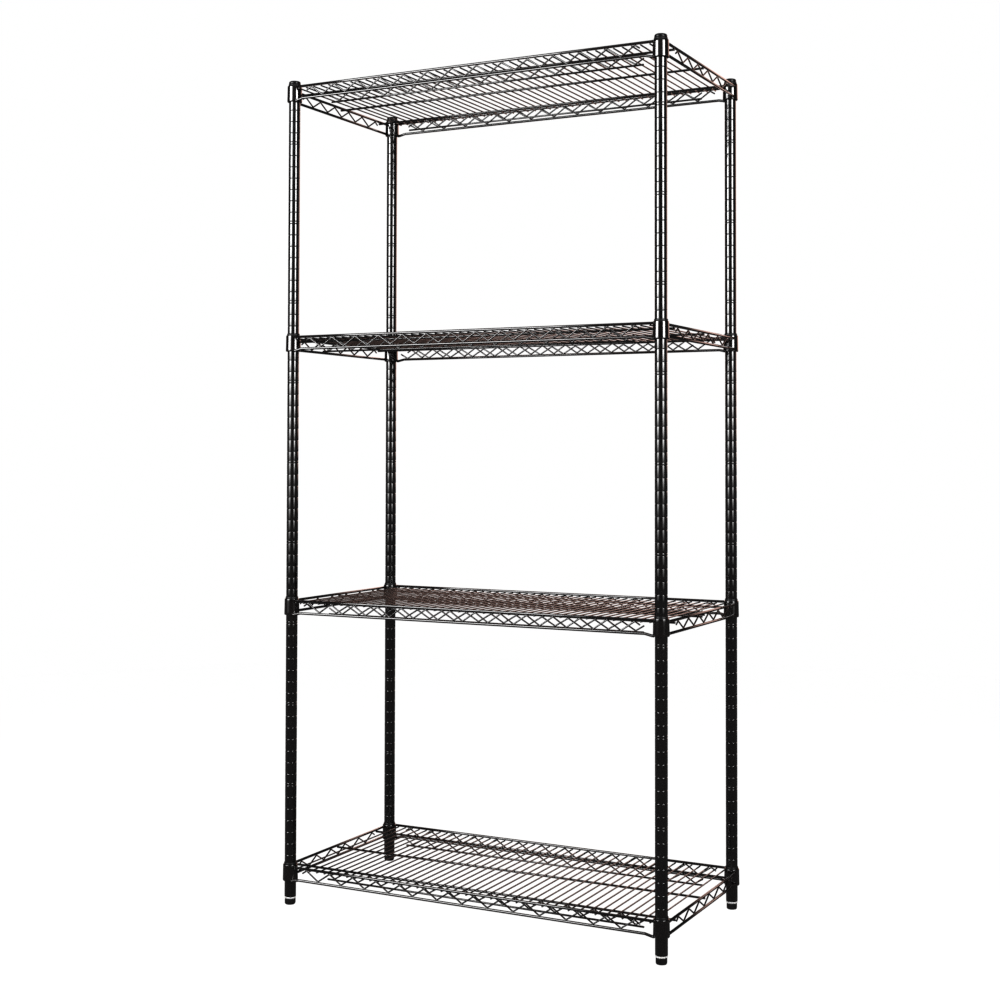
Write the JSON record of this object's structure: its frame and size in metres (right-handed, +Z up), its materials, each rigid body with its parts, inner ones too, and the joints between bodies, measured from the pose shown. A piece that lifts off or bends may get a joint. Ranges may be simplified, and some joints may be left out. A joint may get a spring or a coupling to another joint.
{
  "type": "wire shelving rack",
  "caption": "Free-standing black wire shelving rack: open wire shelves wedged on grooved tube posts, with levelling feet; shelves lift off their split sleeves.",
  "frame": {"origin": "on the floor plane, under the middle of the rack", "axes": "+Z up, +X along the long side to the right, -Y towards the front"},
  "size_m": [0.9094, 0.452, 1.8265],
  "materials": {
    "post_enamel": "glossy black epoxy enamel on steel tube",
    "wire_enamel": "glossy black epoxy enamel on welded steel wire",
    "cap_plastic": "moulded black plastic, satin gloss",
    "sleeve_plastic": "moulded black plastic, fine matt texture",
    "foot_plastic": "moulded black plastic, satin",
    "zinc_steel": "bright zinc plate"
  },
  "bodies": {
    "frame": {"post_front_left": "post_enamel", "post_front_right": "post_enamel", "post_rear_right": "post_enamel", "post_rear_left": "post_enamel", "cap_front_left": "cap_plastic", "cap_front_right": "cap_plastic", "cap_rear_right": "cap_plastic", "cap_rear_left": "cap_plastic", "post_bushes": "zinc_steel", "bottom_shelf_sleeves_left": "sleeve_plastic", "bottom_shelf_sleeves_right": "sleeve_plastic", "lower_shelf_sleeves_left": "sleeve_plastic", "lower_shelf_sleeves_right": "sleeve_plastic", "upper_shelf_sleeves_left": "sleeve_plastic", "upper_shelf_sleeves_right": "sleeve_plastic", "top_shelf_sleeves_left": "sleeve_plastic", "top_shelf_sleeves_right": "sleeve_plastic"},
    "bottom_shelf": {"bottom_shelf_collars": "wire_enamel", "bottom_shelf_top_rails": "wire_enamel", "bottom_shelf_bottom_rails": "wire_enamel", "bottom_shelf_edge_zigzags": "wire_enamel", "bottom_shelf_deck_wires": "wire_enamel", "bottom_shelf_inner_rails": "wire_enamel", "bottom_shelf_inner_zigzags": "wire_enamel"},
    "lower_shelf": {"lower_shelf_collars": "wire_enamel", "lower_shelf_top_rails": "wire_enamel", "lower_shelf_bottom_rails": "wire_enamel", "lower_shelf_edge_zigzags": "wire_enamel", "lower_shelf_deck_wires": "wire_enamel", "lower_shelf_inner_rails": "wire_enamel", "lower_shelf_inner_zigzags": "wire_enamel"},
    "upper_shelf": {"upper_shelf_collars": "wire_enamel", "upper_shelf_top_rails": "wire_enamel", "upper_shelf_bottom_rails": "wire_enamel", "upper_shelf_edge_zigzags": "wire_enamel", "upper_shelf_deck_wires": "wire_enamel", "upper_shelf_inner_rails": "wire_enamel", "upper_shelf_inner_zigzags": "wire_enamel"},
    "top_shelf": {"top_shelf_collars": "wire_enamel", "top_shelf_top_rails": "wire_enamel", "top_shelf_bottom_rails": "wire_enamel", "top_shelf_edge_zigzags": "wire_enamel", "top_shelf_deck_wires": "wire_enamel", "top_shelf_inner_rails": "wire_enamel", "top_shelf_inner_zigzags": "wire_enamel"},
    "foot_travel_front_left": {"foot_washer_front_left": "zinc_steel"},
    "levelling_foot_front_left": {"foot_front_left": "foot_plastic", "foot_stem_front_left": "zinc_steel"},
    "foot_travel_front_right": {"foot_washer_front_right": "zinc_steel"},
    "levelling_foot_front_right": {"foot_front_right": "foot_plastic", "foot_stem_front_right": "zinc_steel"},
    "foot_travel_rear_right": {"foot_washer_rear_right": "zinc_steel"},
    "levelling_foot_rear_right": {"foot_rear_right": "foot_plastic", "foot_stem_rear_right": "zinc_steel"},
    "foot_travel_rear_left": {"foot_washer_rear_left": "zinc_steel"},
    "levelling_foot_rear_left": {"foot_rear_left": "foot_plastic", "foot_stem_rear_left": "zinc_steel"}
  },
  "joints": [
    {"name": "bottom_shelf_lift", "type": "slide", "parent": "frame", "child": "bottom_shelf", "axis": [0, 0, 1], "range_m": [0, 0.5]},
    {"name": "lower_shelf_lift", "type": "slide", "parent": "frame", "child": "lower_shelf", "axis": [0, 0, 1], "range_m": [0, 0.5]},
    {"name": "upper_shelf_lift", "type": "slide", "parent": "frame", "child": "upper_shelf", "axis": [0, 0, 1], "range_m": [0, 0.5]},
    {"name": "top_shelf_lift", "type": "slide", "parent": "frame", "child": "top_shelf", "axis": [0, 0, 1], "range_m": [0, 0.12]},
    {"name": "foot_travel_front_left", "type": "slide", "parent": "frame", "child": "foot_travel_front_left", "axis": [0, 0, -1], "range_m": [0, 0.01905]},
    {"name": "foot_turn_front_left", "type": "hinge", "parent": "foot_travel_front_left", "child": "levelling_foot_front_left", "pos_m": [-0.43815, -0.20955, 0], "axis": [0, 0, 1], "range_deg": [0, 4320]},
    {"name": "foot_travel_front_right", "type": "slide", "parent": "frame", "child": "foot_travel_front_right", "axis": [0, 0, -1], "range_m": [0, 0.01905]},
    {"name": "foot_turn_front_right", "type": "hinge", "parent": "foot_travel_front_right", "child": "levelling_foot_front_right", "pos_m": [0.43815, -0.20955, 0], "axis": [0, 0, 1], "range_deg": [0, 4320]},
    {"name": "foot_travel_rear_right", "type": "slide", "parent": "frame", "child": "foot_travel_rear_right", "axis": [0, 0, -1], "range_m": [0, 0.01905]},
    {"name": "foot_turn_rear_right", "type": "hinge", "parent": "foot_travel_rear_right", "child": "levelling_foot_rear_right", "pos_m": [0.43815, 0.20955, 0], "axis": [0, 0, 1], "range_deg": [0, 4320]},
    {"name": "foot_travel_rear_left", "type": "slide", "parent": "frame", "child": "foot_travel_rear_left", "axis": [0, 0, -1], "range_m": [0, 0.01905]},
    {"name": "foot_turn_rear_left", "type": "hinge", "parent": "foot_travel_rear_left", "child": "levelling_foot_rear_left", "pos_m": [-0.43815, 0.20955, 0], "axis": [0, 0, 1], "range_deg": [0, 4320]}
  ],
  "couplings": [
    {"joint": "foot_turn_front_left", "follows": "foot_travel_front_left", "rad_per_m": 3957.9},
    {"joint": "foot_turn_front_right", "follows": "foot_travel_front_right", "rad_per_m": 3957.9},
    {"joint": "foot_turn_rear_right", "follows": "foot_travel_rear_right", "rad_per_m": 3957.9},
    {"joint": "foot_turn_rear_left", "follows": "foot_travel_rear_left", "rad_per_m": 3957.9}
  ]
}
